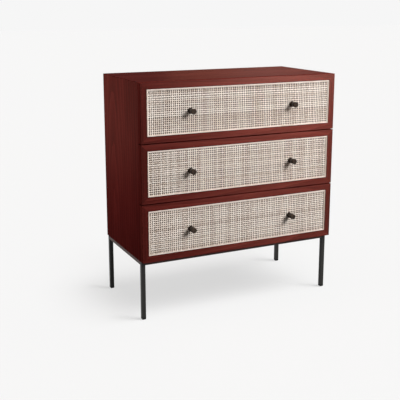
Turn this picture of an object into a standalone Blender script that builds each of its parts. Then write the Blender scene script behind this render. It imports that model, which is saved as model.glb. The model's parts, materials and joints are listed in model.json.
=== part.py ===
"""Chest of three drawers: a stained wood case with cane fronted drawers on a square steel tube base.

Metres. +Z is up, +X is to the right seen from the front, and the drawers open towards -Y.
The origin is on the floor under the middle of the chest's box, knobs included.
"""

import math

import bmesh
import bpy
from mathutils import Matrix, Vector

# Overall sizes
WIDTH = 0.800
HEIGHT = 0.870
DEPTH = 0.388  # from the faces of the drawer fronts to the back
LEG_HEIGHT = 0.2245  # from the floor to the underside of the case

# Fits
GAP = 0.0003  # between pieces that touch
OVERCUT = 0.010  # how far a cutter reaches past the surface it enters by
WELD = 0.00001  # points closer than this are one point

# Case
PANEL = 0.018
BACK_BOARD = 0.006
REBATE = 0.009  # how far the back board reaches into the edges of the case panels

# Drawer fronts
LEVELS = ("lower", "middle", "upper")
FRONT_THICKNESS = 0.020
FRONT_CLEARANCE = 0.001  # between a closed front and the edges of the case
FRONT_SPACING = 0.003  # between one front and the next
FRAME_BAR = 0.0242  # width of the wood round the cane
RECESS = 0.005  # depth of the window that the cane lies in

# Cane and the bead that holds its edge
CANE_THICKNESS = 0.002
CANE_COLUMNS = 18
CANE_ROWS = 4
CANE_BAND = 0.0205  # width of a band of strands between two gaps
CANE_BORDER = 0.010  # width of the unbroken edge
BEAD_WIDTH = 0.0040
BEAD_SUNK = 0.0007  # how far the bead lies below the face

# Knobs, each with the bolt that holds it
KNOB_SPACING = 0.420
KNOB_PROJECTION = 0.030
KNOB_DIAMETER = 0.0205
KNOB_HEAD = 0.011  # length of the head
KNOB_EDGE = 0.002  # rounding of the head's edge
KNOB_WAIST = 0.0165
KNOB_BASE_DIAMETER = 0.0205
KNOB_BASE = 0.003
BOLT_DIAMETER = 0.004
BOLT_HEAD_DIAMETER = 0.008
BOLT_HEAD = 0.0025

# Drawer boxes
BOX_SIDE = 0.012
BOX_BOTTOM = 0.006
BOX_GROOVE = 0.006  # depth of the groove for the bottom
BOX_GROOVE_UP = 0.010  # from the lower edge of a box side to its groove
BOX_UNDER = 0.007  # room under a box, above the case bottom
BOX_OVER = 0.020  # room over a box, below the case top
BOX_BEHIND = 0.020  # room between a box and the back board

# Runners, two channels for each side of a drawer
RUNNER_SPACE = 0.0127  # between a drawer box and the case
RUNNER_HEIGHT = 0.035
RUNNER_SHEET = 0.0012
RUNNER_FREE = 0.002  # from the tips of one channel to the web of the other
RUNNER_SETBACK = 0.004  # from the edge of the case to the end of a runner

# Base frame of square tube
TUBE = 0.015
TUBE_WALL = 0.0015
BASE_SIDE_INSET = 0.0035
BASE_END_INSET = 0.001
FOOT_HEIGHT = 0.010
FOOT_ROUND = 0.0045
FOOT_PLUG = 0.014  # length of the plug in the tube
FRAME_SCREW_INSET = 0.055  # from the middle of a leg to the next screw
FRAME_SCREW_DIAMETER = 0.004
FRAME_SCREW_HEAD_DIAMETER = 0.009
FRAME_SCREW_HEAD = 0.003
FRAME_SCREW_BITE = 0.025  # length in the side panel

# Facets of round pieces
ROUND_STEPS = 16
ARC_STEPS = 4
SHARP = math.radians(35)  # edges that turn more than this aren't shaded smooth

# Directions
SIDES = (("left", -1), ("right", 1))
UPRIGHT = (math.pi / 2, 0.0, 0.0)  # stands a flat outline up in XZ, with its thickness along Y
CROSSWISE = (0.0, math.pi / 2, 0.0)  # lays a tube along X

# Places that several pieces share
X_SIDE = WIDTH / 2
X_INNER = X_SIDE - PANEL
Y_BACK = (DEPTH + KNOB_PROJECTION) / 2
Y_FACE = Y_BACK - DEPTH
Y_CASE = Y_FACE + FRONT_THICKNESS + FRONT_CLEARANCE
FRONT_HEIGHT = (HEIGHT - LEG_HEIGHT - (len(LEVELS) - 1) * FRONT_SPACING) / len(LEVELS)
WINDOW_X = X_SIDE - FRAME_BAR
WINDOW_Z = FRONT_HEIGHT / 2 - FRAME_BAR

# Places in the base
BASE_X = X_SIDE - BASE_SIDE_INSET - TUBE / 2
BASE_FRONT = Y_CASE + BASE_END_INSET + TUBE / 2
BASE_REAR = Y_BACK - BASE_END_INSET - TUBE / 2
BASE_MIDDLE = (BASE_FRONT + BASE_REAR) / 2
RAIL_Z = LEG_HEIGHT - GAP - TUBE / 2

# Places in a drawer, measured from the middle of its front's face
CANE_BACK = RECESS - GAP
CANE_FACE = CANE_BACK - CANE_THICKNESS
BOX_X = X_INNER - RUNNER_SPACE
BOX_FRONT = FRONT_THICKNESS + GAP
BOX_END = DEPTH - BACK_BOARD - GAP - BOX_BEHIND
BOX_LOW = PANEL + BOX_UNDER - FRONT_HEIGHT / 2
BOX_HIGH = FRONT_HEIGHT / 2 - PANEL - BOX_OVER
RUNNER_Z = (BOX_LOW + BOX_HIGH) / 2
RUNNER_START = FRONT_THICKNESS + FRONT_CLEARANCE + RUNNER_SETBACK
RUNNER_END = BOX_END - RUNNER_SETBACK


def linear(value):
    """One channel of a colour read from 0 to 255, as the shader's linear value."""
    share = value / 255
    return share / 12.92 if share <= 0.04045 else ((share + 0.055) / 1.055) ** 2.4


def material(name, colour, roughness, metallic=0.0):
    made = bpy.data.materials.new(name)
    made.use_nodes = True
    shader = made.node_tree.nodes["Principled BSDF"]
    shader.inputs["Base Color"].default_value = (*map(linear, colour), 1.0)
    shader.inputs["Roughness"].default_value = roughness
    shader.inputs["Metallic"].default_value = metallic
    return made


def collection(name):
    made = bpy.data.collections.new(name)
    bpy.context.scene.collection.children.link(made)
    return made


for old in list(bpy.data.objects):
    bpy.data.objects.remove(old)

PARTS = collection("chest_of_drawers")
CUTTERS = collection("cutters")
STAINED_WOOD = material("stained_wood", (98, 38, 34), 0.45)
CANE = material("cane", (216, 203, 190), 0.6)
BEAD = material("bead", (238, 219, 206), 0.5)
BRONZE = material("bronze", (52, 45, 38), 0.4, 0.8)
BLACK_STEEL = material("black_steel", (46, 45, 43), 0.5, 0.3)
BLACK_PLASTIC = material("black_plastic", (30, 30, 30), 0.6)
PLYWOOD = material("plywood", (205, 178, 140), 0.6)
BACK_WOOD = material("back_wood", (92, 48, 42), 0.7)
ZINC_STEEL = material("zinc_steel", (176, 178, 180), 0.35, 1.0)


def finished_mesh(name, shape):
    """The mesh of a bmesh, which is then freed."""
    mesh = bpy.data.meshes.new(name)
    shape.to_mesh(mesh)
    shape.free()
    return mesh


def box_mesh(name, size):
    shape = bmesh.new()
    bmesh.ops.create_cube(shape, size=1.0, matrix=Matrix.Diagonal((*size, 1.0)))
    return finished_mesh(name, shape)


def cylinder_mesh(name, diameter, length):
    shape = bmesh.new()
    bmesh.ops.create_cone(
        shape,
        cap_ends=True,
        segments=ROUND_STEPS,
        radius1=diameter / 2,
        radius2=diameter / 2,
        depth=length,
    )
    return finished_mesh(name, shape)


def outline_mesh(name, loops, thickness):
    """A flat piece with its edges along the loops, in its own XY plane, and its thickness along Z."""
    curve = bpy.data.curves.new(name, "CURVE")
    curve.dimensions = "2D"
    curve.fill_mode = "BOTH"
    curve.extrude = thickness / 2
    for loop in loops:
        spline = curve.splines.new("POLY")
        spline.points.add(len(loop) - 1)
        for point, (x, y) in zip(spline.points, loop):
            point.co = (x, y, 0.0, 1.0)
        spline.use_cyclic_u = True
    drawn = bpy.data.objects.new(name, curve)
    CUTTERS.objects.link(drawn)
    depsgraph = bpy.context.evaluated_depsgraph_get()
    mesh = bpy.data.meshes.new_from_object(drawn.evaluated_get(depsgraph))
    bpy.data.objects.remove(drawn)
    bpy.data.curves.remove(curve)
    shape = bmesh.new()
    shape.from_mesh(mesh)
    bpy.data.meshes.remove(mesh)
    bmesh.ops.remove_doubles(shape, verts=shape.verts, dist=WELD)
    bmesh.ops.recalc_face_normals(shape, faces=shape.faces)
    return finished_mesh(name, shape)


def rectangle(half_x, half_y):
    return [(-half_x, -half_y), (half_x, -half_y), (half_x, half_y), (-half_x, half_y)]


def place(piece, location, rotation, parent):
    piece.location = location
    piece.rotation_euler = rotation
    piece.parent = parent
    return piece


def add(name, mesh, finish, location, rotation=(0.0, 0.0, 0.0), parent=None):
    piece = bpy.data.objects.new(name, mesh)
    piece.data.materials.append(finish)
    PARTS.objects.link(piece)
    return place(piece, location, rotation, parent)


def add_box(name, low, high, finish, parent=None):
    """A board between two opposite corners."""
    low, high = Vector(low), Vector(high)
    return add(name, box_mesh(name, high - low), finish, (low + high) / 2, parent=parent)


def add_cutter(name, mesh, location, rotation=(0.0, 0.0, 0.0), parent=None):
    cutter = bpy.data.objects.new(name, mesh)
    cutter.hide_render = True
    cutter.display_type = "WIRE"
    CUTTERS.objects.link(cutter)
    return place(cutter, location, rotation, parent)


def add_box_cutter(name, low, high, parent=None):
    low, high = Vector(low), Vector(high)
    return add_cutter(name, box_mesh(name, high - low), (low + high) / 2, parent=parent)


def cut(piece, *cutters):
    for cutter in cutters:
        boolean = piece.modifiers.new(cutter.name, "BOOLEAN")
        boolean.operation = "DIFFERENCE"
        boolean.solver = "EXACT"
        boolean.object = cutter


def add_turned(name, profile, finish, location, rotation=(0.0, 0.0, 0.0), parent=None):
    """A round piece about its own Z, from a profile of radius and height that runs down its outer side."""
    shape = bmesh.new()
    points = [shape.verts.new((radius, 0.0, height)) for radius, height in profile]
    for upper, under in zip(points, points[1:]):
        shape.edges.new((upper, under))
    piece = add(name, finished_mesh(name, shape), finish, location, rotation, parent)
    screw = piece.modifiers.new("turn", "SCREW")
    screw.steps = ROUND_STEPS
    screw.render_steps = ROUND_STEPS
    screw.use_merge_vertices = True
    screw.merge_threshold = WELD
    return piece


def build_case():
    """The five panels. The top is mitred to the sides, and the back board lies in a rebate.

    Returns the side panels, which the base is screwed to.
    """
    depth = Y_BACK - Y_CASE
    middle = (Y_BACK + Y_CASE) / 2
    seam = GAP * math.sqrt(2)
    edge = [(-X_SIDE, HEIGHT), (X_SIDE, HEIGHT), (X_INNER, HEIGHT - PANEL), (-X_INNER, HEIGHT - PANEL)]
    top_mesh = outline_mesh("top_panel", [edge], depth)
    top = add("top_panel", top_mesh, STAINED_WOOD, (0, middle, 0), UPRIGHT)
    bottom = add_box(
        "bottom_panel",
        (GAP - X_INNER, Y_CASE, LEG_HEIGHT),
        (X_INNER - GAP, Y_BACK, LEG_HEIGHT + PANEL),
        STAINED_WOOD,
    )
    rebate_x = X_INNER + REBATE
    rebate_low = LEG_HEIGHT + PANEL - REBATE
    rebate_high = HEIGHT - PANEL + REBATE
    rebate = add_box_cutter(
        "back_rebate",
        (-rebate_x, Y_BACK - BACK_BOARD - GAP, rebate_low),
        (rebate_x, Y_BACK + OVERCUT, rebate_high),
    )
    cut(top, rebate)
    cut(bottom, rebate)
    sides = {}
    for side, sign in SIDES:
        edge = [
            (sign * X_SIDE, LEG_HEIGHT),
            (sign * X_SIDE, HEIGHT - seam),
            (sign * X_INNER, HEIGHT - PANEL - seam),
            (sign * X_INNER, LEG_HEIGHT),
        ]
        name = f"{side}_side_panel"
        sides[side] = add(name, outline_mesh(name, [edge], depth), STAINED_WOOD, (0, middle, 0), UPRIGHT)
        cut(sides[side], rebate)
    add_box(
        "back_panel",
        (GAP - rebate_x, Y_BACK - BACK_BOARD, rebate_low + GAP),
        (rebate_x - GAP, Y_BACK, rebate_high - GAP),
        BACK_WOOD,
    )
    return sides


def build_frame_screws(side, sign, rail, panel):
    """The two screws that go up through a side rail into the edge of its side panel."""
    seat = RAIL_Z - TUBE / 2 - GAP
    reach = LEG_HEIGHT + FRAME_SCREW_BITE - seat
    radius = FRAME_SCREW_DIAMETER / 2
    profile = [
        (0.0, reach),
        (radius / 2, reach - radius),
        (radius, reach - 3 * radius),
        (radius, 0.0),
        (FRAME_SCREW_HEAD_DIAMETER / 2, 0.0),
        (FRAME_SCREW_HEAD_DIAMETER / 2, -FRAME_SCREW_HEAD / 2),
        (FRAME_SCREW_HEAD_DIAMETER / 3, -FRAME_SCREW_HEAD),
        (0.0, -FRAME_SCREW_HEAD),
    ]
    hole_length = reach + GAP + OVERCUT
    for end, leg, inward in (("front", BASE_FRONT, 1), ("rear", BASE_REAR, -1)):
        name = f"{end}_{side}_frame_screw"
        x = sign * BASE_X
        y = leg + inward * FRAME_SCREW_INSET
        add_turned(name, profile, BLACK_STEEL, (x, y, seat))
        hole = add_cutter(
            f"{name}_hole",
            cylinder_mesh(name, FRAME_SCREW_DIAMETER + 2 * GAP, hole_length),
            (x, y, seat - OVERCUT + hole_length / 2),
        )
        cut(rail, hole)
        cut(panel, hole)


def tube_mesh(name, length):
    """A length of square tube along its own Z, open at both ends."""
    inside = TUBE / 2 - TUBE_WALL
    return outline_mesh(name, [rectangle(TUBE / 2, TUBE / 2), rectangle(inside, inside)], length)


def foot_mesh(name):
    """A block with a rounded lower end and a plug on top, with its origin in the middle of its underside."""
    shape = bmesh.new()
    size = Matrix.Diagonal((TUBE, TUBE, FOOT_HEIGHT, 1.0))
    bmesh.ops.create_cube(shape, size=1.0, matrix=Matrix.Translation((0, 0, FOOT_HEIGHT / 2)) @ size)
    upper = max(shape.faces, key=lambda face: face.calc_center_median().z)
    bmesh.ops.inset_region(shape, faces=[upper], thickness=TUBE_WALL + GAP, use_even_offset=True)
    grown = bmesh.ops.extrude_face_region(shape, geom=[upper])
    plug = [item for item in grown["geom"] if isinstance(item, bmesh.types.BMVert)]
    bmesh.ops.delete(shape, geom=[upper], context="FACES_ONLY")
    bmesh.ops.translate(shape, verts=plug, vec=(0, 0, FOOT_PLUG))
    lowest = [edge for edge in shape.edges if max(end.co.z for end in edge.verts) < FOOT_HEIGHT / 2]
    bmesh.ops.bevel(shape, geom=lowest, offset=FOOT_ROUND, segments=ARC_STEPS, profile=0.5, affect="EDGES")
    bmesh.ops.recalc_face_normals(shape, faces=shape.faces)
    return finished_mesh(name, shape)


def build_base(side_panels):
    """Four rails and four legs of tube, with the feet, and the screws that hold the side panels."""
    leg_low = FOOT_HEIGHT + GAP
    leg_high = LEG_HEIGHT - GAP
    leg_length = leg_high - leg_low
    leg_middle = (leg_low + leg_high) / 2
    long_rail = 2 * BASE_X - TUBE - 2 * GAP
    side_rail = BASE_REAR - BASE_FRONT - TUBE - 2 * GAP
    for end, y in (("front", BASE_FRONT), ("rear", BASE_REAR)):
        name = f"{end}_rail"
        add(name, tube_mesh(name, long_rail), BLACK_STEEL, (0, y, RAIL_Z), CROSSWISE)
        for side, sign in SIDES:
            leg = f"{end}_{side}_leg"
            add(leg, tube_mesh(leg, leg_length), BLACK_STEEL, (sign * BASE_X, y, leg_middle))
            foot = f"{end}_{side}_foot"
            add(foot, foot_mesh(foot), BLACK_PLASTIC, (sign * BASE_X, y, 0))
    for side, sign in SIDES:
        name = f"{side}_rail"
        place_at = (sign * BASE_X, BASE_MIDDLE, RAIL_Z)
        rail = add(name, tube_mesh(name, side_rail), BLACK_STEEL, place_at, UPRIGHT)
        build_frame_screws(side, sign, rail, side_panels[side])


def knob_profile():
    """The knob's outline from its face down to the head of its bolt, with heights above the drawer's face."""
    head = KNOB_DIAMETER / 2
    base = KNOB_BASE_DIAMETER / 2
    seat = GAP - CANE_FACE
    back = -FRONT_THICKNESS - GAP
    points = [(0.0, KNOB_PROJECTION)]
    for step in range(ARC_STEPS + 1):
        turn = step / ARC_STEPS * math.pi / 2
        radius = head - KNOB_EDGE + KNOB_EDGE * math.sin(turn)
        points.append((radius, KNOB_PROJECTION - KNOB_EDGE + KNOB_EDGE * math.cos(turn)))
    waist_high = KNOB_PROJECTION - KNOB_HEAD
    waist_low = seat + KNOB_BASE
    for step in range(ARC_STEPS + 1):
        share = step / ARC_STEPS
        straight = head + (base - head) * share
        radius = straight - (straight - KNOB_WAIST / 2) * math.sin(share * math.pi)
        points.append((radius, waist_high + (waist_low - waist_high) * share))
    points += [
        (base, seat),
        (BOLT_DIAMETER / 2, seat),
        (BOLT_DIAMETER / 2, back),
        (BOLT_HEAD_DIAMETER / 2, back),
        (BOLT_HEAD_DIAMETER / 2, back - BOLT_HEAD),
        (0.0, back - BOLT_HEAD),
    ]
    return points


def build_cane(level, carrier, bolt_holes):
    """The cane as a net, coarser than the weave but as open, and the bead over its edge."""
    half_x = WINDOW_X - GAP
    half_z = WINDOW_Z - GAP
    gap_x = (2 * half_x - 2 * CANE_BORDER - (CANE_COLUMNS - 1) * CANE_BAND) / CANE_COLUMNS
    gap_z = (2 * half_z - 2 * CANE_BORDER - (CANE_ROWS - 1) * CANE_BAND) / CANE_ROWS
    low = (-half_x, CANE_FACE, -half_z)
    high = (half_x, CANE_BACK, half_z)
    cane = add_box(f"{level}_cane_panel", low, high, CANE, carrier)
    first_x = CANE_BORDER - half_x
    first_z = CANE_BORDER - half_z
    gaps = add_box_cutter(
        f"{level}_cane_gaps",
        (first_x, CANE_FACE - OVERCUT, first_z),
        (first_x + gap_x, CANE_BACK + OVERCUT, first_z + gap_z),
        carrier,
    )
    for count, step in ((CANE_COLUMNS, (gap_x + CANE_BAND, 0, 0)), (CANE_ROWS, (0, 0, gap_z + CANE_BAND))):
        array = gaps.modifiers.new("array", "ARRAY")
        array.count = count
        array.use_relative_offset = False
        array.use_constant_offset = True
        array.constant_offset_displace = step
    cut(cane, gaps, *bolt_holes)
    bead_back = CANE_FACE - GAP
    edges = [rectangle(half_x, half_z), rectangle(half_x - BEAD_WIDTH, half_z - BEAD_WIDTH)]
    name = f"{level}_cane_bead"
    add(
        name,
        outline_mesh(name, edges, bead_back - BEAD_SUNK),
        BEAD,
        (0, (bead_back + BEAD_SUNK) / 2, 0),
        UPRIGHT,
        carrier,
    )


def build_front(level, carrier, groove):
    """The front board with its sunk window, the cane in it, and two bolted knobs."""
    front = add_box(
        f"{level}_drawer_front",
        (-X_SIDE, 0, -FRONT_HEIGHT / 2),
        (X_SIDE, FRONT_THICKNESS, FRONT_HEIGHT / 2),
        STAINED_WOOD,
        carrier,
    )
    window = add_box_cutter(
        f"{level}_window",
        (-WINDOW_X, -OVERCUT, -WINDOW_Z),
        (WINDOW_X, RECESS, WINDOW_Z),
        carrier,
    )
    bolt_holes = []
    for side, sign in SIDES:
        x = sign * KNOB_SPACING / 2
        add_turned(f"{level}_{side}_knob", knob_profile(), BRONZE, (x, 0, 0), UPRIGHT, carrier)
        name = f"{level}_{side}_bolt_hole"
        hole = cylinder_mesh(name, BOLT_DIAMETER + 2 * GAP, FRONT_THICKNESS + 2 * OVERCUT)
        bolt_holes.append(add_cutter(name, hole, (x, FRONT_THICKNESS / 2, 0), UPRIGHT, carrier))
    cut(front, window, groove, *bolt_holes)
    build_cane(level, carrier, bolt_holes)


def build_box(level, carrier):
    """The drawer box behind the front. Returns the cutter of the groove that holds the bottom."""
    inner = BOX_X - BOX_SIDE
    bottom_low = BOX_LOW + BOX_GROOVE_UP
    bottom_high = bottom_low + BOX_BOTTOM
    reach = inner + BOX_GROOVE - GAP
    bottom_front = FRONT_THICKNESS - BOX_GROOVE + GAP
    grow = Vector((GAP, GAP, GAP))
    low = Vector((-reach, bottom_front, bottom_low))
    high = Vector((reach, BOX_END, bottom_high))
    add_box(f"{level}_box_bottom", low, high, PLYWOOD, carrier)
    groove = add_box_cutter(f"{level}_bottom_groove", low - grow, high + grow, carrier)
    for side, sign in SIDES:
        near, far = sorted((sign * inner, sign * BOX_X))
        wall = add_box(
            f"{level}_box_{side}",
            (near, BOX_FRONT, BOX_LOW),
            (far, BOX_END, BOX_HIGH),
            PLYWOOD,
            carrier,
        )
        cut(wall, groove)
    add_box(
        f"{level}_box_back",
        (GAP - inner, BOX_END - BOX_SIDE, bottom_high + GAP),
        (inner - GAP, BOX_END, BOX_HIGH),
        PLYWOOD,
        carrier,
    )
    return groove


def channel(web, tip, half_height):
    """The outline of a channel whose back is at web and whose two lips reach to tip."""
    inner = web + math.copysign(RUNNER_SHEET, tip - web)
    lip = half_height - RUNNER_SHEET
    return [
        (web, -half_height),
        (tip, -half_height),
        (tip, -lip),
        (inner, -lip),
        (inner, lip),
        (tip, lip),
        (tip, half_height),
        (web, half_height),
    ]


def build_runners(level, carrier):
    """Two channels on each side: one on the case, and one on the drawer that runs inside it."""
    length = RUNNER_END - RUNNER_START
    middle = (RUNNER_END + RUNNER_START) / 2
    outer_half = RUNNER_HEIGHT / 2
    inner_half = outer_half - RUNNER_SHEET - GAP
    case_web = X_INNER - GAP
    case_tip = BOX_X + GAP + RUNNER_SHEET + RUNNER_FREE
    drawer_web = BOX_X + GAP
    drawer_tip = case_web - RUNNER_SHEET - RUNNER_FREE
    for side, sign in SIDES:
        name = f"{level}_{side}_cabinet_runner"
        edge = channel(sign * case_web, sign * case_tip, outer_half)
        place_at = carrier.location + Vector((0, middle, RUNNER_Z))
        add(name, outline_mesh(name, [edge], length), ZINC_STEEL, place_at, UPRIGHT)
        name = f"{level}_{side}_drawer_runner"
        edge = channel(sign * drawer_web, sign * drawer_tip, inner_half)
        place_at = Vector((0, middle, RUNNER_Z))
        add(name, outline_mesh(name, [edge], length), ZINC_STEEL, place_at, UPRIGHT, carrier)


def build_drawer(number, level):
    """One drawer. Its pieces hang on an empty in the middle of the front's face, which slides along Y."""
    carrier = bpy.data.objects.new(f"{level}_drawer", None)
    carrier.location = (0, Y_FACE, LEG_HEIGHT + FRONT_HEIGHT / 2 + number * (FRONT_HEIGHT + FRONT_SPACING))
    PARTS.objects.link(carrier)
    groove = build_box(level, carrier)
    build_front(level, carrier, groove)
    build_runners(level, carrier)


build_base(build_case())
for number, level in enumerate(LEVELS):
    build_drawer(number, level)
for piece in PARTS.objects:
    if piece.type == "MESH":
        piece.data.shade_smooth()
        piece.data.set_sharp_from_angle(angle=SHARP)
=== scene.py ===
"""The looks of the chest of drawers: stained wood, woven cane, dark bronze knobs and a black tube base.

Metres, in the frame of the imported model. Every piece takes its place from the node that it stands for.
Colours of surfaces are written as red, green and blue from 0 to 255.
"""

import json
import math

import bmesh
import bpy
import numpy as np
from mathutils import Euler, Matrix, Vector

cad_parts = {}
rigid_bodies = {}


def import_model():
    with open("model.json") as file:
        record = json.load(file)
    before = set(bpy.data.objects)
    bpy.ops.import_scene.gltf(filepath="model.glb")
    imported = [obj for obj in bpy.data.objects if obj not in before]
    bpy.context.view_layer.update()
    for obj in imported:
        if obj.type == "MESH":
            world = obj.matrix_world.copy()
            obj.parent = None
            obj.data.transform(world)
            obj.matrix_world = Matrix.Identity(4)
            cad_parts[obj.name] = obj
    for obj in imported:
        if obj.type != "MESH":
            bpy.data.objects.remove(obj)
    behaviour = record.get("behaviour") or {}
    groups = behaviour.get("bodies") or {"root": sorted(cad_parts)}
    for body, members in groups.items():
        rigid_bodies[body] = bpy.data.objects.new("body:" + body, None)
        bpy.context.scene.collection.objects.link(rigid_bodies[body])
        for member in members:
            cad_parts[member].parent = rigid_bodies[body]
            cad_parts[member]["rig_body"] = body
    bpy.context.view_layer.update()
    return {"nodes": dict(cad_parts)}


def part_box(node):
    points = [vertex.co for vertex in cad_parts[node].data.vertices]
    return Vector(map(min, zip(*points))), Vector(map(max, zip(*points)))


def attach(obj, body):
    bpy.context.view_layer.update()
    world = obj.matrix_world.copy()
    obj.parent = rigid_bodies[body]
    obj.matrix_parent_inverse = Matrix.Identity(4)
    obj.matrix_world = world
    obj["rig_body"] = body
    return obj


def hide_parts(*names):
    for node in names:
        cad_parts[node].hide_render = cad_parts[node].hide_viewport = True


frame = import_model()

# The photograph's view, as a square picture
PICTURE = 400
FOCAL_PIXELS = 759.3
SENSOR = 36.0
CAMERA_PLACE = (-1.3306, -2.5883, 1.1331)
CAMERA_YAW = math.radians(25.65)
CAMERA_PITCH = math.radians(12.24)
CAMERA_SHIFT = -0.08

# Names and axes
LEVELS = ("lower", "middle", "upper")
SIDES = ("left", "right")
ENDS = ("front", "rear")
AXES = {"x": (0, 1, 2), "y": (1, 0, 2), "z": (2, 1, 0)}  # the grain's axis first
QUARTER = math.pi / 2

# Fits and mesh tolerances
GAP = 0.0003
WELD = 0.000002
FLAT = math.radians(1)
SHARP = math.radians(30)
FACING = 0.5  # the share of a normal by which a face looks along an axis

# Rounded edges
BOARD_EDGE = 0.0009
BOX_EDGE = 0.0006
TUBE_EDGE = 0.0016
RUNNER_EDGE = 0.0005
EDGE_STEPS = 3
SHORTEST_EDGE = 0.004  # shorter edges stay sharp

# Weave of the cane
CANE_PITCH = 0.0076
STRAND_WIDTH = 0.0034
STRAND_THICKNESS = 0.0006
STRAND_CROWN = 0.00018
STRAND_MARGIN = 0.3 * STRAND_WIDTH  # from the bead to the middle of the first strand
WEAVE_SWING = 0.00036  # from the middle of the weave to a strand that passes over or under
DRIFT_STRANDS = 6  # strands between two turns of the slow drift
DRIFT_SPREAD = 0.0004
PLACE_SPREAD = 0.0003
WIDTH_SPREAD = 0.00034
STRAND_TONE_SPREAD = 0.13
STRAND_GRAIN_SHIFT = 9.0
WEAVE_SEED = 11

# Section of a strand, point by point: shares of its width, its crown and the rest of its thickness
STRAND_ACROSS = np.array((-0.5, -0.28, 0.28, 0.5, 0.42, -0.42))
STRAND_CROWNED = np.array((0.0, 1.0, 1.0, 0.0, 0.0, 0.0))
STRAND_BODY = np.array((0.0, 0.5, 0.5, 0.0, -0.5, -0.5))

# Bead round the cane
BEAD_WIDTH = 0.0040
BEAD_ROUND = 0.0004
BEAD_SLOPE = 0.0007
BEAD_ROUND_STEPS = 4
BEAD_SLOPE_STEPS = 8
BEAD_SHARP = math.radians(50)
# painted shade: the uprights and the lower member darker than the upper one, as the light falls from above
# and the right
BEAD_PAINTED_SHADE = (-0.2, -0.2, -0.08, 0.0)  # left, right, lower and upper member

# Knobs and their bolts
KNOB_STEPS = 56
KNOB_EDGE = 0.002
KNOB_EDGE_STEPS = 6
KNOB_DISH = 0.0002
KNOB_HEAD = 0.011
KNOB_FOOT = 0.003
KNOB_WAIST = 0.0165
KNOB_NECK_STEPS = 14
KNOB_SHARP = math.radians(40)
BOLT_DIAMETER = 0.004
BOLT_HEAD_DIAMETER = 0.008
BOLT_HEAD_EDGE = 0.0012
TURNING_SWEEP = 0.01  # how far the turning marks change round a knob
TURNING_SWAY = 0.0004

# Grain of the wood
GRAIN_SEED = 7
GRAIN_SHIFT = 5.0  # keeps the pattern of one member apart from the next
MEMBERS = 8  # the most members that a piece may have
PANEL_MEMBER = 4  # the sunk panel of a drawer front
RING_TAPER = 0.11  # draws the rings out into long arches
RING_SCALE = 15.0
HEART_DEPTH = 0.035  # from a board's middle to the heart of the tree
HEART_BEYOND = 0.12  # past the end of the board
HEART_ASIDE = 0.08  # at most, to either side

# Tones of single members, some of them painted shade and painted sheen, and how dark their rounded edges
# are: pooled stain, with painted shade along the gaps
# stiles darker than rails: partly each board's own tone, partly painted shade for the weaker sheen on
# upright grain
STILE_TONE_AND_SHADE = -0.20
RAIL_TONE = -0.09
# painted sheen: the fronts' end faces lighter than the stiles, as the side panels look in their sheen
END_PAINTED_SHEEN = -0.04
# painted sheen: the upper front's top edge paler, as the top panel looks in its sheen
LEDGE_PAINTED_SHEEN = 0.12
TOP_TONE = -0.08
LEDGE_STAIN_AND_SHADE = 0.15
TOP_STAIN_AND_SHADE = 0.15
SIDE_STAIN_AND_SHADE = 0.3

# Stains from dark to light, and the lacquer over them
# painted shade: a darker, redder copy of the satin stain, for the sides and the bottom
CASE_STAIN_SHADED = ((70, 15, 14), (85, 21, 19), (99, 30, 27))
SATIN_STAIN = ((74, 22, 19), (90, 32, 28), (106, 44, 38))
BACK_STAIN = ((62, 26, 22), (82, 38, 32), (98, 50, 42))
DEEPEST = 0.6  # brightness of the deepest grain, as a share of the dark stain's
# painted shade: the sunk panel behind the cane is darkened, as shade in the recess
SUNK_PANEL_SHADE = (30, 13, 11)  # behind the cane
EDGE_STAIN_AND_SHADE = (34, 9, 8)  # where stain pooled, and painted shade along the gaps between parts
CASE_GLOSS = 0.018
SATIN_GLOSS = 0.035
BACK_GLOSS = 0.03
LACQUER_BLUR = 0.4
FRONT_BLUR = 0.32

# Other colours, from dark to light
BIRCH = ((182, 148, 108), (208, 179, 139), (222, 199, 164))
PLY_LAYERS = ((158, 120, 82), (206, 174, 132))
PLY_PAIRS = 4.0  # pairs of a light and a dark layer
CANE_SHADES = ((202, 184, 170), (238, 224, 212), (248, 238, 228))
BEAD_SHADES = ((206, 189, 175), (241, 226, 217), (248, 237, 230))
LEG_PAINT = ((32, 31, 30), (42, 41, 39))
# painted reflection: the rails' paint lighter and warmer than the legs', as light thrown back from the floor
# and the wood
RAIL_PAINT_AND_REFLECTION = ((64, 44, 40), (78, 56, 51))
FOOT_PLASTIC = ((13, 13, 13), (20, 20, 19))
PATINA = ((38, 29, 23), (54, 42, 34))
RUBBED_BRONZE = (70, 56, 44)
ZINC = ((158, 160, 163), (190, 191, 192))

# Skin of the paint and of the moulded plastic
PAINT = {"roughness": 0.5, "scale": 1800.0, "height": 0.00006}
MOULDED = {"roughness": 0.6, "scale": 2600.0, "height": 0.00005}

# Studio
BACKGROUND = (246, 246, 246)
AMBIENT = 0.21
AMBIENT_TINT = (1.0, 0.93, 0.87, 1.0)
FLOOR_REACH = 30.0
FLOOR_SHADE = 0.6
FLOOR_BOUNCE = 0.04  # share of light that the floor throws back on the chest
FLOOR_GLOW = 0.60  # share of the floor's brightness that no shadow takes away
FLOOR_MIDDLE = (0.0, 0.0, 0.0)
CHEST_MIDDLE = (0.0, 0.0, 0.5)
TOP_TINT = (1.0, 0.35, 0.21)
FRONT_TINT = (1.0, 0.52, 0.41)
STRIP_TINT = (1.0, 0.38, 0.27)
SIDE_TINT = (1.0, 0.66, 0.48)
LEFT_SPREAD = math.radians(68)

chance = np.random.default_rng(GRAIN_SEED)


def new_collection(name, parent):
    made = bpy.data.collections.new(name)
    parent.children.link(made)
    return made


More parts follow.
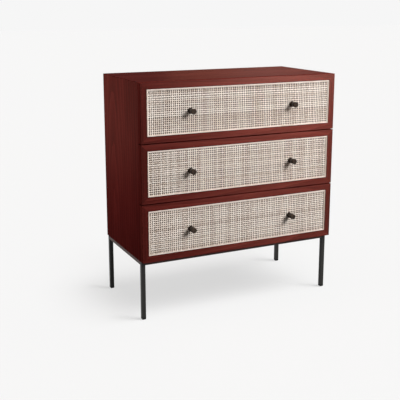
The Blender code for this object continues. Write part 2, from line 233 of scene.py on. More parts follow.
# What the lamps light, and what stops their light
ROOT = bpy.context.scene.collection
PIECES = new_collection("chest", ROOT)
STAGE = new_collection("stage", ROOT)
SATIN = {part: new_collection(f"satin_{part}", ROOT) for part in ("top", "side", "front")}
UNDERSIDE = new_collection("underside", ROOT)
LEGS = new_collection("legs", UNDERSIDE)


# Shader helpers


def linear(value):
    """One channel of a colour, from 0 to 255, as the shader's linear value."""
    share = value / 255
    return share / 12.92 if share <= 0.04045 else ((share + 0.055) / 1.055) ** 2.4


def colour(red, green, blue):
    return (linear(red), linear(green), linear(blue), 1.0)


def colours(shades):
    return [colour(*shade) for shade in shades]


def add_node(tree, kind, inputs=None, **settings):
    """Adds a node with its settings, and fills its inputs by name or number."""
    made = tree.nodes.new(kind)
    for key, value in settings.items():
        setattr(made, key, value)
    for key, value in (inputs or {}).items():
        fill(tree, made.inputs[key], value)
    return made


def fill(tree, socket, value):
    """Links a socket to another, or sets it to a plain value."""
    if isinstance(value, bpy.types.NodeSocket):
        tree.links.new(value, socket)
    else:
        socket.default_value = value


def new_material(name, **inputs):
    """A material and its tree and shader, with plain values set on the shader's own sockets."""
    made = bpy.data.materials.new(name)
    made.use_nodes = True
    shader = made.node_tree.nodes["Principled BSDF"]
    for key, value in inputs.items():
        shader.inputs[key.replace("_", " ")].default_value = value
    return made, made.node_tree, shader


def attribute(tree, name, output="Vector"):
    return add_node(tree, "ShaderNodeAttribute", attribute_name=name).outputs[output]


def noise(tree, vector, scale, detail=3.0, roughness=0.5, distortion=0.0):
    """Noise over a vector that is first stretched by scale, a number for each axis."""
    stretched = add_node(tree, "ShaderNodeMapping", {"Vector": vector, "Scale": scale})
    values = {
        "Vector": stretched.outputs["Vector"],
        "Scale": 1.0,
        "Detail": detail,
        "Roughness": roughness,
        "Distortion": distortion,
    }
    return add_node(tree, "ShaderNodeTexNoise", values).outputs["Fac"]


def ramp(tree, value, places, shades):
    """A colour for each value, from the places of some shades."""
    made = add_node(tree, "ShaderNodeValToRGB", {"Fac": value})
    points = made.color_ramp.elements
    while len(points) < len(places):
        points.new(0.5)
    for point, place, shade in zip(points, places, shades):
        point.position = place
        point.color = shade
    return made.outputs["Color"]


def spread(tree, value, low, high, to_low=0.0, to_high=1.0):
    """A value carried from one range to another, and held at its ends."""
    values = {"Value": value, "From Min": low, "From Max": high, "To Min": to_low, "To Max": to_high}
    return add_node(tree, "ShaderNodeMapRange", values).outputs["Result"]


def mix(tree, share, first, second):
    """Two colours mixed by the share of the second."""
    made = add_node(tree, "ShaderNodeMix", data_type="RGBA")
    for name, value in (("Factor", share), ("A", first), ("B", second)):
        fill(tree, next(i for i in made.inputs if i.name == name and i.enabled), value)
    return next(o for o in made.outputs if o.enabled)


def math_node(tree, operation, *terms):
    made = add_node(tree, "ShaderNodeMath", operation=operation)
    for socket, value in zip(made.inputs, terms):
        fill(tree, socket, value)
    return made.outputs["Value"]


def weighted_sum(tree, *terms):
    total = 0.0
    for value, weight in terms:
        total = math_node(tree, "MULTIPLY_ADD", value, weight, total)
    return total


def bump(tree, shader, height, distance, strength):
    values = {"Height": height, "Distance": distance, "Strength": strength}
    made = add_node(tree, "ShaderNodeBump", values)
    tree.links.new(made.outputs["Normal"], shader.inputs["Normal"])


# Materials


def growth_rings(tree):
    """Long arches along the grain, as where a flat board cuts the rings of a tree."""
    heart = attribute(tree, "heart")
    stretched = add_node(tree, "ShaderNodeMapping", {"Vector": heart, "Scale": (RING_TAPER, 1.0, 1.0)})
    values = {
        "Vector": stretched.outputs["Vector"],
        "Scale": RING_SCALE,
        "Distortion": 4.0,
        "Detail": 3.0,
        "Detail Scale": 1.2,
        "Detail Roughness": 0.6,
    }
    settings = {"wave_type": "RINGS", "rings_direction": "SPHERICAL", "wave_profile": "SAW"}
    return add_node(tree, "ShaderNodeTexWave", values, **settings).outputs["Fac"]


def wood_material(name, stain, gloss, blur=LACQUER_BLUR):
    """Stained wood: growth rings, streaks, fibres and pores along the grain, under a satin lacquer."""
    made, tree, shader = new_material(
        name,
        Specular_IOR_Level=0.0,
        Coat_Weight=gloss,
        Coat_Roughness=blur,
        Coat_IOR=1.5,
    )
    dark, middle, light = colours(stain)
    deep = (dark[0] * DEEPEST, dark[1] * DEEPEST, dark[2] * DEEPEST, 1.0)
    grain = attribute(tree, "grain")
    rings = growth_rings(tree)
    clouds = noise(tree, grain, (2.0, 12.0, 12.0), roughness=0.55, distortion=0.5)
    streaks = noise(tree, grain, (5.0, 110.0, 110.0), roughness=0.6)
    fibres = noise(tree, grain, (14.0, 620.0, 620.0), detail=4.0, roughness=0.6)
    pores = noise(tree, grain, (42.0, 1500.0, 1500.0), detail=2.0)
    patches = noise(tree, grain, (9.0, 60.0, 60.0), detail=2.0)
    tone = attribute(tree, "tone", "Fac")
    parts = ((rings, 0.16), (clouds, 0.34), (streaks, 0.14), (fibres, 0.36), (tone, 1.0))
    shade = ramp(tree, weighted_sum(tree, *parts), (0.18, 0.36, 0.5, 0.64), (deep, dark, middle, light))
    open_pores = spread(tree, pores, 0.60, 0.72)
    shade = mix(tree, math_node(tree, "MULTIPLY", open_pores, 0.5), shade, dark)
    patchy = spread(tree, patches, 0.35, 0.6, to_low=0.4, to_high=0.9)
    # painted shade: the pooled stain on the rounded edges also darkens them as shade along the gaps between
    # parts
    stain_and_shade = math_node(tree, "MULTIPLY", attribute(tree, "arris_stain_and_shade", "Fac"), patchy)
    shade = mix(tree, stain_and_shade, shade, colour(*EDGE_STAIN_AND_SHADE))
    # painted shade on the sunk panel behind the cane
    shade = mix(tree, attribute(tree, "sunk", "Fac"), shade, colour(*SUNK_PANEL_SHADE))
    tree.links.new(shade, shader.inputs["Base Color"])
    tree.links.new(spread(tree, fibres, 0.3, 0.7, to_low=0.62, to_high=0.5), shader.inputs["Roughness"])
    height = math_node(tree, "SUBTRACT", fibres, math_node(tree, "MULTIPLY", open_pores, 0.8))
    bump(tree, shader, height, distance=0.00012, strength=0.6)
    return made


def dull_edges(made, gloss):
    """Leaves the lacquer off the faces marked dull, which would glare when seen against the light."""
    tree = made.node_tree
    weight = spread(tree, attribute(tree, "dull", "Fac"), 0.0, 1.0, to_low=gloss, to_high=0.0)
    tree.links.new(weight, tree.nodes["Principled BSDF"].inputs["Coat Weight"])


def plywood_material():
    """Pale birch ply with its layers on the cut edges."""
    made, tree, shader = new_material("plywood", Specular_IOR_Level=0.25)
    grain = attribute(tree, "grain")
    fibres = noise(tree, grain, (9.0, 420.0, 420.0), detail=4.0, roughness=0.6)
    bands = noise(tree, grain, (3.0, 40.0, 40.0), detail=2.0, distortion=0.8)
    figure = weighted_sum(tree, (bands, 0.6), (fibres, 0.4))
    face = ramp(tree, figure, (0.32, 0.5, 0.68), colours(BIRCH))
    layers = math_node(tree, "MULTIPLY", attribute(tree, "layer", "Fac"), PLY_PAIRS)
    dark_layer = math_node(tree, "GREATER_THAN", math_node(tree, "FRACT", layers), 0.5)
    dark, light = colours(PLY_LAYERS)
    edge = mix(tree, 0.35, mix(tree, dark_layer, light, dark), face)
    shade = mix(tree, attribute(tree, "edge", "Fac"), face, edge)
    tree.links.new(shade, shader.inputs["Base Color"])
    tree.links.new(spread(tree, fibres, 0.3, 0.7, to_low=0.7, to_high=0.52), shader.inputs["Roughness"])
    bump(tree, shader, fibres, distance=0.0001, strength=0.5)
    return made


def cane_material(name, shades):
    """Pale cane: each strand has its own tone, with fibres and small flecks along it. On the bead the tone
    is painted shade.
    """
    made, tree, shader = new_material(name, Specular_IOR_Level=0.2)
    grain = attribute(tree, "grain")
    patches = noise(tree, grain, (38.0, 160.0, 160.0), roughness=0.6)
    fibres = noise(tree, grain, (60.0, 3600.0, 3600.0), roughness=0.6)
    tone = attribute(tree, "tone", "Fac")
    figure = weighted_sum(tree, (patches, 0.7), (fibres, 0.3), (tone, 1.0))
    tree.links.new(ramp(tree, figure, (0.3, 0.5, 0.7), colours(shades)), shader.inputs["Base Color"])
    tree.links.new(spread(tree, fibres, 0.3, 0.7, to_low=0.68, to_high=0.5), shader.inputs["Roughness"])
    bump(tree, shader, fibres, distance=0.00006, strength=0.5)
    return made


def coated_material(name, shades, roughness, scale, height):
    """Paint or moulded plastic: a fine grained skin, slightly uneven in colour and gloss."""
    made, tree, shader = new_material(name, Specular_IOR_Level=0.2)
    place = add_node(tree, "ShaderNodeTexCoord").outputs["Object"]
    clouds = noise(tree, place, (18.0, 18.0, 18.0))
    skin = noise(tree, place, (scale, scale, scale), detail=2.0)
    tree.links.new(ramp(tree, clouds, (0.35, 0.65), colours(shades)), shader.inputs["Base Color"])
    uneven = spread(tree, skin, 0.3, 0.7, to_low=roughness + 0.08, to_high=roughness - 0.08)
    tree.links.new(uneven, shader.inputs["Roughness"])
    bump(tree, shader, skin, height, strength=0.6)
    return made


def bronze_material():
    """Dark bronze: turning marks round the axis, and a brown rub on the high edges."""
    made, tree, shader = new_material("bronze", Metallic=0.55, Specular_IOR_Level=0.3)
    grain = attribute(tree, "grain")
    turning = noise(tree, grain, (6.0, 2600.0, 2600.0))
    clouds = noise(tree, grain, (160.0, 160.0, 160.0))
    worn = spread(tree, clouds, 0.35, 0.65, to_low=0.3, to_high=1.0)
    rub = math_node(tree, "MULTIPLY", attribute(tree, "edge", "Fac"), worn)
    patina = ramp(tree, clouds, (0.35, 0.65), colours(PATINA))
    tree.links.new(mix(tree, rub, patina, colour(*RUBBED_BRONZE)), shader.inputs["Base Color"])
    tree.links.new(spread(tree, turning, 0.3, 0.7, to_low=0.5, to_high=0.34), shader.inputs["Roughness"])
    bump(tree, shader, turning, distance=0.00005, strength=0.4)
    return made


def zinc_material():
    """Rolled and plated steel sheet, with faint streaks along its length."""
    made, tree, shader = new_material("zinc_steel", Metallic=1.0)
    grain = attribute(tree, "grain")
    streaks = noise(tree, grain, (5.0, 900.0, 900.0), detail=4.0, roughness=0.6)
    clouds = noise(tree, grain, (26.0, 60.0, 60.0), roughness=0.6)
    tree.links.new(ramp(tree, clouds, (0.35, 0.65), colours(ZINC)), shader.inputs["Base Color"])
    tree.links.new(spread(tree, streaks, 0.3, 0.7, to_low=0.46, to_high=0.3), shader.inputs["Roughness"])
    bump(tree, shader, streaks, distance=0.00004, strength=0.4)
    return made


FINISH = {
    # painted shade in the sides' and the bottom's stain
    "stained_wood": wood_material("stained_wood", CASE_STAIN_SHADED, CASE_GLOSS),
    "satin_wood": wood_material("satin_wood", SATIN_STAIN, SATIN_GLOSS),
    "front_wood": wood_material("front_wood", SATIN_STAIN, SATIN_GLOSS, FRONT_BLUR),
    "back_wood": wood_material("back_wood", BACK_STAIN, BACK_GLOSS),
    "plywood": plywood_material(),
    "cane": cane_material("cane", CANE_SHADES),
    "bead": cane_material("bead", BEAD_SHADES),
    "bronze": bronze_material(),
    "black_steel": coated_material("black_steel", LEG_PAINT, **PAINT),
    # painted reflection on the rails
    "rail_steel_painted_reflection": coated_material("rail_steel_painted_reflection", RAIL_PAINT_AND_REFLECTION, **PAINT),
    "black_plastic": coated_material("black_plastic", FOOT_PLASTIC, **MOULDED),
    "zinc_steel": zinc_material(),
}
dull_edges(FINISH["front_wood"], SATIN_GLOSS)


# Mesh helpers


def cad_shape(node):
    """A node's mesh, welded, with its flat faces whole again."""
    shape = bmesh.new()
    shape.from_mesh(frame["nodes"][node].data)
    bmesh.ops.remove_doubles(shape, verts=shape.verts, dist=WELD)
    bmesh.ops.dissolve_limit(shape, angle_limit=FLAT, verts=shape.verts, edges=shape.edges)
    return shape


def round_edges(shape, width, stain_and_shade=1.0):
    """Rounds the convex sharp edges, and marks how dark they are: pooled stain, with painted shade as along
    the gaps between parts.
    """
    arris_stain_and_shade = shape.faces.layers.float.new("arris_stain_and_shade")
    shape.normal_update()
    edges = [
        edge
        for edge in shape.edges
        if edge.is_manifold
        and edge.is_convex
        and edge.calc_face_angle() > SHARP
        and edge.calc_length() > SHORTEST_EDGE
    ]
    rounded = bmesh.ops.bevel(
        shape,
        geom=edges,
        offset=width,
        segments=EDGE_STEPS,
        profile=0.5,
        affect="EDGES",
        clamp_overlap=True,
    )
    for face in rounded["faces"]:
        face[arris_stain_and_shade] = stain_and_shade


def finished_mesh(name, shape):
    mesh = bpy.data.meshes.new(name)
    shape.to_mesh(mesh)
    shape.free()
    return mesh


def store(mesh, name, domain, values):
    """Writes a number or a vector for each face, corner or point of a mesh."""
    values = np.asarray(values, np.float32)
    kind, field = ("FLOAT_VECTOR", "vector") if values.ndim == 2 else ("FLOAT", "value")
    mesh.attributes.new(name, kind, domain).data.foreach_set(field, values.ravel())


def lay_grain(mesh, member_of, thickness_axis=None):
    """Stores where each corner lies in its board, length first, and marks the layers of a sheet.

    member_of gives the grain's axis and the member's number for the middle of a face.
    """
    shifts = chance.uniform(-GRAIN_SHIFT, GRAIN_SHIFT, (MEMBERS, 3))
    aside = chance.uniform(-HEART_ASIDE, HEART_ASIDE, MEMBERS)
    places = np.array([vertex.co for vertex in mesh.vertices])
    lowest, highest = places.min(0), places.max(0)
    middle = (lowest + highest) / 2
    grain = np.zeros((len(mesh.loops), 3))
    heart = np.zeros((len(mesh.loops), 3))
    for face in mesh.polygons:
        axis, member = member_of(face.center)
        order = list(AXES[axis])
        beyond = (highest - lowest)[order[0]] / 2 + HEART_BEYOND
        for corner in face.loop_indices:
            place = places[mesh.loops[corner].vertex_index]
            grain[corner] = place[order] + shifts[member]
            heart[corner] = (place - middle)[order] + (beyond, aside[member], HEART_DEPTH)
    store(mesh, "grain", "CORNER", grain)
    store(mesh, "heart", "CORNER", heart)
    if thickness_axis is not None:
        mark_layers(mesh, places[:, thickness_axis], thickness_axis)


def mark_layers(mesh, heights, axis):
    """Stores which faces are the cut edges of a sheet, and how far through it each point lies."""
    store(mesh, "edge", "FACE", [abs(face.normal[axis]) < FACING for face in mesh.polygons])
    store(mesh, "layer", "POINT", (heights - heights.min()) / np.ptp(heights))


def show(name, mesh, finish, node, weighted=True):
    """Adds a piece that stands for a node, with its body and a finish."""
    piece = bpy.data.objects.new(name, mesh)
    PIECES.objects.link(piece)
    mesh.materials.append(FINISH[finish])
    mesh.shade_smooth()
    if weighted:
        normals = piece.modifiers.new("normals", "WEIGHTED_NORMAL")
        normals.keep_sharp = True
    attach(piece, frame["nodes"][node]["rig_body"])
    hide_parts(node)
    return piece


def show_board(node, finish, axis, width, thickness_axis=None, tone=0.0, stain_and_shade=1.0):
    """A board, tube or sheet as the node has it, with its edges rounded and its grain laid along an axis."""
    shape = cad_shape(node)
    round_edges(shape, width, stain_and_shade)
    mesh = finished_mesh(f"{node}_dressed", shape)
    lay_grain(mesh, lambda middle: (axis, 0), thickness_axis)
    if tone:
        store(mesh, "tone", "FACE", [tone] * len(mesh.polygons))
    return show(f"{node}_dressed", mesh, finish, node)


# Case, base and runners


def build_case():
    top = show_board("top_panel", "satin_wood", "x", BOARD_EDGE, tone=TOP_TONE, stain_and_shade=TOP_STAIN_AND_SHADE)
    SATIN["top"].objects.link(top)
    UNDERSIDE.objects.link(show_board("bottom_panel", "stained_wood", "x", BOARD_EDGE))
    show_board("back_panel", "back_wood", "x", BOX_EDGE)
    for side in SIDES:
        panel = show_board(f"{side}_side_panel", "stained_wood", "z", BOARD_EDGE, stain_and_shade=SIDE_STAIN_AND_SHADE)
        SATIN["side"].objects.link(panel)


def build_base():
    for end in ENDS:
        show_board(f"{end}_rail", "rail_steel_painted_reflection", "x", TUBE_EDGE)
        for side in SIDES:
            LEGS.objects.link(show_board(f"{end}_{side}_leg", "black_steel", "z", TUBE_EDGE))
            LEGS.objects.link(show_board(f"{end}_{side}_foot", "black_plastic", "z", BOX_EDGE))
            show_board(f"{end}_{side}_frame_screw", "black_steel", "z", GAP)
    for side in SIDES:
        show_board(f"{side}_rail", "rail_steel_painted_reflection", "y", TUBE_EDGE)


def build_runners(level):
    for side in SIDES:
        for member in ("cabinet", "drawer"):
            show_board(f"{level}_{side}_{member}_runner", "zinc_steel", "y", RUNNER_EDGE)


# Drawers


def build_box(level):
    for side in SIDES:
        show_board(f"{level}_box_{side}", "plywood", "y", BOX_EDGE, thickness_axis=0)
    show_board(f"{level}_box_back", "plywood", "x", BOX_EDGE, thickness_axis=1)
    show_board(f"{level}_box_bottom", "plywood", "x", BOX_EDGE, thickness_axis=2)


def ring(shape, low, high, y):
    """Four corners of an upright rectangle at a depth."""
    corners = ((low[0], low[1]), (high[0], low[1]), (high[0], high[1]), (low[0], high[1]))
    return [shape.verts.new((x, y, z)) for x, z in corners]


def bridge(shape, first, second):
    """Four faces between two rings of four corners."""
    for index in range(4):
        after = (index + 1) % 4
        shape.faces.new((first[index], first[after], second[after], second[index]))


def mitred(middle, reach, panel=False):
    """A function that gives the grain's axis and the member's number at a point of a mitred frame.

    Members 0 and 1 are the left and right ones, and 2 and 3 the lower and upper ones. The mitres start
    at a reach to each side of the frame's middle, and a panel may lie inside it.
    """

    def member_of(point):
        past_x = abs(point.x - middle[0]) - reach[0]
        past_z = abs(point.z - middle[1]) - reach[1]
        if panel and max(past_x, past_z) < -GAP:
            return "x", PANEL_MEMBER
        if past_x > past_z:
            return "z", 0 if point.x < middle[0] else 1
        return "x", 2 if point.z < middle[1] else 3

    return member_of


def front_shape(low, high, window, sunk_y):
    """A board with a sunk window in its face, and its edges rounded."""
    outline = ((low.x, low.z), (high.x, high.z))
    shape = bmesh.new()
    back = ring(shape, *outline, high.y)
    face = ring(shape, *outline, low.y)
    lip = ring(shape, *window, low.y)
    sunk = ring(shape, *window, sunk_y)
    for first, second in ((back, face), (face, lip), (lip, sunk)):
        bridge(shape, first, second)
    shape.faces.new(sunk)
    shape.faces.new(reversed(back))
    bmesh.ops.recalc_face_normals(shape, faces=shape.faces)
    round_edges(shape, BOARD_EDGE)
    return shape


def build_front(level):
    """The front as a mitred frame round a sunk panel.

    The upper one's top edge is painted paler, as painted sheen like the top panel's.
    """
    node = f"{level}_drawer_front"
    low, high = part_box(node)
    cane_low, cane_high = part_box(f"{level}_cane_panel")
    window = ((cane_low.x - GAP, cane_low.z - GAP), (cane_high.x + GAP, cane_high.z + GAP))
    middle = ((low.x + high.x) / 2, (low.z + high.z) / 2)
    member_of = mitred(middle, (window[1][0] - middle[0], window[1][1] - middle[1]), panel=True)
    mesh = finished_mesh(f"{node}_dressed", front_shape(low, high, window, cane_high.y + GAP))
    lay_grain(mesh, member_of)
    sunk, tones, dull, ledge = [], [], [], []
    for face in mesh.polygons:
        axis, member = member_of(face.center)
        # the sunk panel's face takes painted shade
        sunk.append(member == PANEL_MEMBER and face.normal.y < 0)
        dull.append(face.normal.y > -FACING)
        if level == LEVELS[-1] and face.center.z > high.z - BOARD_EDGE:
            ledge.append(face.index)
            # painted sheen on the ledge
            tones.append(LEDGE_PAINTED_SHEEN)
        elif abs(face.center.x - middle[0]) > high.x - middle[0] - BOARD_EDGE / 2:
            # painted sheen on the end faces
            tones.append(END_PAINTED_SHEEN)
        else:
            # stiles take their own tone and painted shade
            tones.append(STILE_TONE_AND_SHADE if axis == "z" else RAIL_TONE)
    store(mesh, "sunk", "FACE", sunk)
    store(mesh, "tone", "FACE", tones)
    store(mesh, "dull", "FACE", dull)
    for index in ledge:
        mesh.attributes["arris_stain_and_shade"].data[index].value *= LEDGE_STAIN_AND_SHADE
    SATIN["front"].objects.link(show(f"{node}_dressed", mesh, "front_wood", node))


def band_mesh(name, bands):
    """One mesh of many flat strands, each with an arched upper side and a flat lower one.

    A band is its centre points, its direction across, its width, its tone and a shift of its grain.
    """
    lift = STRAND_CROWNED * STRAND_CROWN + STRAND_BODY * (STRAND_THICKNESS - STRAND_CROWN)
    count = len(STRAND_ACROSS)
    points, faces, grains, tones = [], [], [], []
    start = 0
    for centres, direction, width, tone, shift in bands:
        sections = len(centres)
        places = centres[:, None, :] + np.outer(STRAND_ACROSS * width, direction)[None]
        places[:, :, 1] -= lift[None]
        points.append(places.reshape(-1, 3))
        along = np.abs(centres @ (1.0 - np.abs(direction) - np.array((0.0, 1.0, 0.0))))
        grain = np.zeros((sections, count, 3))
        grain[:, :, 0] = along[:, None] + shift
        grain[:, :, 1] = STRAND_ACROSS[None] * width + shift
        grain[:, :, 2] = lift[None] + shift
        grains.append(grain.reshape(-1, 3))
        tones.append(np.full(sections * count, tone))
        starts = start + np.arange(sections - 1)[:, None] * count
        first = starts + np.arange(count)[None]
        after = starts + (np.arange(count)[None] + 1) % count
        faces.append(np.stack((first, after, after + count, first + count), 2).reshape(-1, 4))
        start += sections * count
    mesh = bpy.data.meshes.new(name)
    mesh.from_pydata(np.concatenate(points).tolist(), [], np.concatenate(faces).tolist())
    store(mesh, "grain", "POINT", np.concatenate(grains))
    store(mesh, "tone", "POINT", np.concatenate(tones))
    return mesh


def strand_places(generator, low, high):
    """Where the strands lie between two edges: evenly spaced, but for a slow drift and a small error each.

    The first and the last lie against the bead.
    """
    edge = BEAD_WIDTH + STRAND_MARGIN
    count = round((high - low - 2 * edge) / CANE_PITCH) + 1
    even = np.linspace(low + edge, high - edge, count)
    turns = generator.normal(0.0, DRIFT_SPREAD, count // DRIFT_STRANDS + 3)
    drift = np.interp(np.arange(count), np.arange(len(turns)) * DRIFT_STRANDS, turns)
    return even + drift + generator.normal(0.0, PLACE_SPREAD, count)


def build_cane(level, number):
    """The open square weave: upright and level strands that pass over and under each other."""
    node = f"{level}_cane_panel"
    low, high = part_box(node)
    middle_y = low.y + WEAVE_SWING + (STRAND_THICKNESS + STRAND_CROWN) / 2
    generator = np.random.default_rng(WEAVE_SEED + number)
    columns = strand_places(generator, low.x, high.x)
    rows = strand_places(generator, low.z, high.z)
    widths = {}
    for axis, strands in ((0, columns), (2, rows)):
        widths[axis] = STRAND_WIDTH + generator.normal(0.0, WIDTH_SPREAD, len(strands))
    bands = []
    for axis, own, others, sign in ((0, columns, rows, 1.0), (2, rows, columns, -1.0)):
        length = 2 - axis
        ends = (low[length], high[length])
        half = widths[length][:, None] / 2 * np.array((-1.0, 1.0))
        stops = np.clip((others[:, None] + half).ravel(), *ends)
        direction = np.zeros(3)
        direction[axis] = sign
        for index, place in enumerate(own):
            over = sign * np.where((np.arange(len(others)) + index) % 2, -1.0, 1.0)
            centres = np.zeros((len(stops) + 2, 3))
            centres[:, axis] = place
            centres[:, length] = np.concatenate(((ends[0],), stops, (ends[1],)))
            centres[1:-1, 1] = -np.repeat(over, 2) * WEAVE_SWING
            centres[:, 1] += middle_y
            tone = generator.normal(0.0, STRAND_TONE_SPREAD)
            shift = generator.uniform(0.0, STRAND_GRAIN_SHIFT)
            bands.append((centres, direction, widths[axis][index], tone, shift))
    mesh = band_mesh(f"{level}_cane_weave", bands)
    show(f"{level}_cane_weave", mesh, "cane", node, weighted=False)


def bead_profile(crown, seat):
    """Insets and depths across the bead: a rounded outer edge, a flat crown and a slope to the cane."""
    profile = [(GAP, seat), (GAP, crown + BEAD_ROUND)]
    for step in range(1, BEAD_ROUND_STEPS + 1):
        turn = QUARTER * step / BEAD_ROUND_STEPS
        inset = GAP + BEAD_ROUND * (1 - math.cos(turn))
        profile.append((inset, crown + BEAD_ROUND * (1 - math.sin(turn))))
    flat_end = BEAD_WIDTH - BEAD_SLOPE
    for step in range(BEAD_SLOPE_STEPS + 1):
        turn = QUARTER * step / BEAD_SLOPE_STEPS
        fall = (seat - GAP - crown) * (1 - math.cos(turn))
        profile.append((flat_end + BEAD_SLOPE * math.sin(turn), crown + fall))
    profile.append((BEAD_WIDTH, seat))
    return profile


def build_bead(level):
    """The strip that holds the cane's edge: a rounded section, mitred at the corners."""
    node = f"{level}_cane_bead"
    low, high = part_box(node)
    shape = bmesh.new()
    rings = []
    for inset, y in bead_profile(low.y, high.y):
        rings.append(ring(shape, (low.x + inset, low.z + inset), (high.x - inset, high.z - inset), y))
    for first, second in zip(rings, rings[1:] + rings[:1]):
        bridge(shape, first, second)
    bmesh.ops.recalc_face_normals(shape, faces=shape.faces)
    middle = ((low.x + high.x) / 2, (low.z + high.z) / 2)
    member_of = mitred(middle, (high.x - middle[0], high.z - middle[1]))
    mesh = finished_mesh(f"{level}_bead_strip", shape)
    lay_grain(mesh, member_of)
    # painted shade on the bead's members
    store(mesh, "tone", "FACE", [BEAD_PAINTED_SHADE[member_of(face.center)[1]] for face in mesh.polygons])
    show(f"{level}_bead_strip", mesh, "bead", node, weighted=False)
    mesh.set_sharp_from_angle(angle=BEAD_SHARP)


def knob_outline(reach, radius):
    """Radius and height above the seat, from the middle of the knob's end down to its foot.

    The end is slightly dished, with a rounded edge, and the neck is drawn in between the head and the foot.
    """
    points = [(0.0, reach - KNOB_DISH), (radius - 2 * KNOB_EDGE, reach)]
    for step in range(KNOB_EDGE_STEPS + 1):
        turn = QUARTER * step / KNOB_EDGE_STEPS
        inset = KNOB_EDGE * (1 - math.sin(turn))
        points.append((radius - inset, reach - KNOB_EDGE * (1 - math.cos(turn))))
    neck_high = reach - KNOB_HEAD
    for step in range(KNOB_NECK_STEPS + 1):
        share = step / KNOB_NECK_STEPS
        drawn = (radius - KNOB_WAIST / 2) * math.sin(share * math.pi)
        points.append((radius - drawn, neck_high + (KNOB_FOOT - neck_high) * share))
    return points


def bolt_outline(girth, seat, back, end):
    """Radius and depth from the knob's foot, along the bolt through the front, to the bolt's head."""
    bolt = BOLT_DIAMETER / 2
    head = BOLT_HEAD_DIAMETER / 2
    return [
        (girth, seat - GAP),
        (girth - GAP, seat),
        (bolt, seat),
        (bolt, back),
        (head - GAP, back),
        (head, back + GAP),
        (head - GAP, end - GAP),
        (head - BOLT_HEAD_EDGE, end),
        (0.0, end),
    ]


def turned_shape(outline, middle):
    """An outline of radius and depth, turned round an axis along Y."""
    shape = bmesh.new()
    rings = []
    for radius, y in outline:
        turns = np.arange(KNOB_STEPS if radius else 1) * 2 * math.pi / KNOB_STEPS
        rings.append([
            shape.verts.new((middle[0] + radius * math.cos(turn), y, middle[1] + radius * math.sin(turn)))
            for turn in turns
        ])
    for first, second in zip(rings, rings[1:]):
        for index in range(KNOB_STEPS):
            after = (index + 1) % KNOB_STEPS
            corners = [first[index % len(first)], first[after % len(first)]]
            corners += [second[after % len(second)], second[index % len(second)]]
            shape.faces.new(dict.fromkeys(corners))
    bmesh.ops.recalc_face_normals(shape, faces=shape.faces)
    return shape


def build_knob(level, side):
    """A knob and its bolt, turned in one, with marks round its axis and a rubbed edge."""
    node = f"{level}_{side}_knob"
    low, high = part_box(node)
    middle = ((low.x + high.x) / 2, (low.z + high.z) / 2)
    girth = (high.x - low.x) / 2
    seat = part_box(f"{level}_cane_panel")[0].y - GAP
    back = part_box(f"{level}_drawer_front")[1].y + GAP
    outline = [(radius, seat - height) for radius, height in knob_outline(seat - low.y, girth)]
    outline += bolt_outline(girth, seat, back, high.y)
    mesh = finished_mesh(f"{node}_turned", turned_shape(outline, middle))
    shift = chance.uniform(-GRAIN_SHIFT, GRAIN_SHIFT)
    grain, rubbed = [], []
    for vertex in mesh.vertices:
        x, y, z = vertex.co
        radius = math.hypot(x - middle[0], z - middle[1])
        turn = math.atan2(z - middle[1], x - middle[0])
        round_turn = shift + math.sin(turn) * TURNING_SWEEP
        grain.append((round_turn, radius + shift, y + math.cos(turn) * TURNING_SWAY))
        rubbed.append(y < low.y + KNOB_EDGE and radius > girth - KNOB_EDGE)
    store(mesh, "grain", "POINT", grain)
    store(mesh, "edge", "POINT", rubbed)
    show(f"{node}_turned", mesh, "bronze", node, weighted=False)
    mesh.set_sharp_from_angle(angle=KNOB_SHARP)


# Studio


def seen_directly(tree):
    """1 for rays that show the background: from the camera, in a reflection or through something."""
    path = add_node(tree, "ShaderNodeLightPath").outputs
    seen = math_node(tree, "MAXIMUM", path["Is Camera Ray"], path["Is Glossy Ray"])
    return math_node(tree, "MAXIMUM", seen, path["Is Transmission Ray"])


def mix_shaders(tree, share, first, second):
    values = {0: share, 1: first.outputs[0], 2: second.outputs[0]}
    return add_node(tree, "ShaderNodeMixShader", values)


def matt_grey(tree, value):
    return add_node(tree, "ShaderNodeBsdfDiffuse", {"Color": (value, value, value, 1.0)})


def build_floor():
    """A pale floor that looks as bright as the background, takes shadows and throws little light back."""
    shape = bmesh.new()
    bmesh.ops.create_grid(shape, x_segments=1, y_segments=1, size=FLOOR_REACH)
    floor = bpy.data.objects.new("floor", finished_mesh("floor", shape))
    STAGE.objects.link(floor)
    made = bpy.data.materials.new("floor")
    made.use_nodes = True
    tree = made.node_tree
    tree.nodes.clear()
    glow = add_node(tree, "ShaderNodeEmission", {"Color": colour(*BACKGROUND), "Strength": 1.0})
    pale = mix_shaders(tree, FLOOR_GLOW, matt_grey(tree, FLOOR_SHADE), glow)
    both = mix_shaders(tree, seen_directly(tree), matt_grey(tree, FLOOR_BOUNCE), pale)
    add_node(tree, "ShaderNodeOutputMaterial", {"Surface": both.outputs["Shader"]})
    floor.data.materials.append(made)


def build_world():
    """Dim warm light from all round, and a pale background where it is seen."""
    world = bpy.data.worlds.new("studio")
    world.use_nodes = True
    tree = world.node_tree
    tree.nodes.clear()
    light = add_node(tree, "ShaderNodeBackground", {"Color": AMBIENT_TINT, "Strength": AMBIENT})
    pale = add_node(tree, "ShaderNodeBackground", {"Color": colour(*BACKGROUND), "Strength": 1.0})
    both = mix_shaders(tree, seen_directly(tree), light, pale)
    add_node(tree, "ShaderNodeOutputWorld", {"Surface": both.outputs["Shader"]})
    bpy.context.scene.world = world


def add_lamp(name, kind, place, target, energy, receivers):
    """A lamp at a place that looks at a target and lights a collection."""
    lamp = bpy.data.lights.new(name, kind)
    lamp.energy = energy
    made = bpy.data.objects.new(name, lamp)
    made.location = place
    made.rotation_euler = (Vector(target) - Vector(place)).to_track_quat("-Z", "Y").to_euler()
    ROOT.objects.link(made)
    made.light_linking.receiver_collection = receivers
    return made


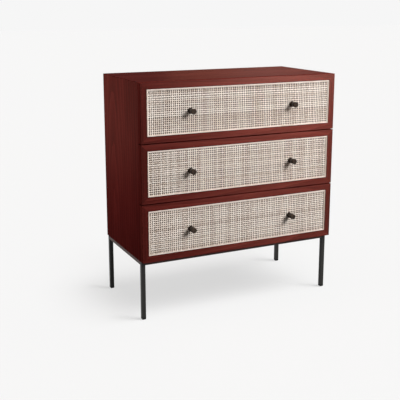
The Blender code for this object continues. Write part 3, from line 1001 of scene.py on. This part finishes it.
def add_disk(name, place, target, watts, size, receivers=PIECES):
    """A round lamp that lights some pieces and not the floor."""
    made = add_lamp(name, "AREA", place, target, watts, receivers)
    made.data.shape = "DISK"
    made.data.size = size
    return made


def add_sheen(name, part, tint, place, watts, size, height=None):
    """A lamp that shows only in the lacquer of one part of the chest. With a height it is an ellipse."""
    made = add_disk(name, place, CHEST_MIDDLE, watts, size, SATIN[part])
    made.data.color = tint
    if height is not None:
        made.data.shape = "ELLIPSE"
        made.data.size_y = height
    made.visible_diffuse = False
    made.light_linking.blocker_collection = PIECES


def add_floor_sun(name, place, strength, degrees, blockers=None):
    """A lamp that lights only the floor, and whose shadow may come from some pieces alone."""
    made = add_lamp(name, "SUN", place, FLOOR_MIDDLE, strength, STAGE)
    made.data.angle = math.radians(degrees)
    if blockers is not None:
        made.light_linking.blocker_collection = blockers


def build_lamps():
    """Lamps for the whole chest, then for the sheen of its lacquer, then for the floor's shadow."""
    add_disk("key", (3.4, -5.5, 4.6), CHEST_MIDDLE, watts=585.0, size=3.2)
    add_disk("right", (1.2, -0.8, 1.4), (0.1, 0.0, 0.6), watts=11.0, size=0.7)
    left = add_disk("left", (-1.6, 0.6, 1.1), (-0.4, 0.12, 0.76), watts=2.1, size=0.6)
    left.data.spread = LEFT_SPREAD
    add_disk("back", (1.6, 2.2, 1.7), (0.2, 0.0, 0.6), watts=8.0, size=0.8)
    add_disk("rear", (0.2, 2.8, 0.45), (0.0, 0.2, 0.5), watts=50.0, size=0.9)
    add_sheen("top_sheen", "top", TOP_TINT, (1.28, 2.05, 1.15), watts=42.0, size=1.2)
    add_sheen("front_sheen", "front", FRONT_TINT, (1.5, -2.3, 1.05), watts=460.0, size=0.8)
    add_sheen("front_strip", "front", STRIP_TINT, (1.5, -2.3, 0.0), watts=270.0, size=0.8, height=2.0)
    add_sheen("side_sheen", "side", SIDE_TINT, (-1.3, 3.6, 0.3), watts=46.0, size=0.8, height=1.3)
    add_floor_sun("front_sun", (0.0, -0.423, 0.906), strength=0.82, degrees=25)
    add_floor_sun("board_sun", (0.465, -0.336, 0.819), strength=2.8, degrees=46, blockers=UNDERSIDE)
    add_floor_sun("leg_sun", (0.342, -0.247, 0.906), strength=1.4, degrees=13, blockers=LEGS)


def build_camera():
    camera = bpy.data.cameras.new("camera")
    camera.sensor_width = SENSOR
    camera.lens = FOCAL_PIXELS / PICTURE * SENSOR
    camera.shift_y = CAMERA_SHIFT
    made = bpy.data.objects.new("camera", camera)
    made.location = CAMERA_PLACE
    made.rotation_euler = Euler((QUARTER - CAMERA_PITCH, 0.0, -CAMERA_YAW))
    ROOT.objects.link(made)
    bpy.context.scene.camera = made


build_case()
build_base()
for number, level in enumerate(LEVELS):
    build_runners(level)
    build_box(level)
    build_front(level)
    build_cane(level, number)
    build_bead(level)
    for side in SIDES:
        build_knob(level, side)
build_floor()
build_world()
build_lamps()
build_camera()
bpy.context.scene.view_settings.view_transform = "Standard"

bpy.context.view_layer.update()
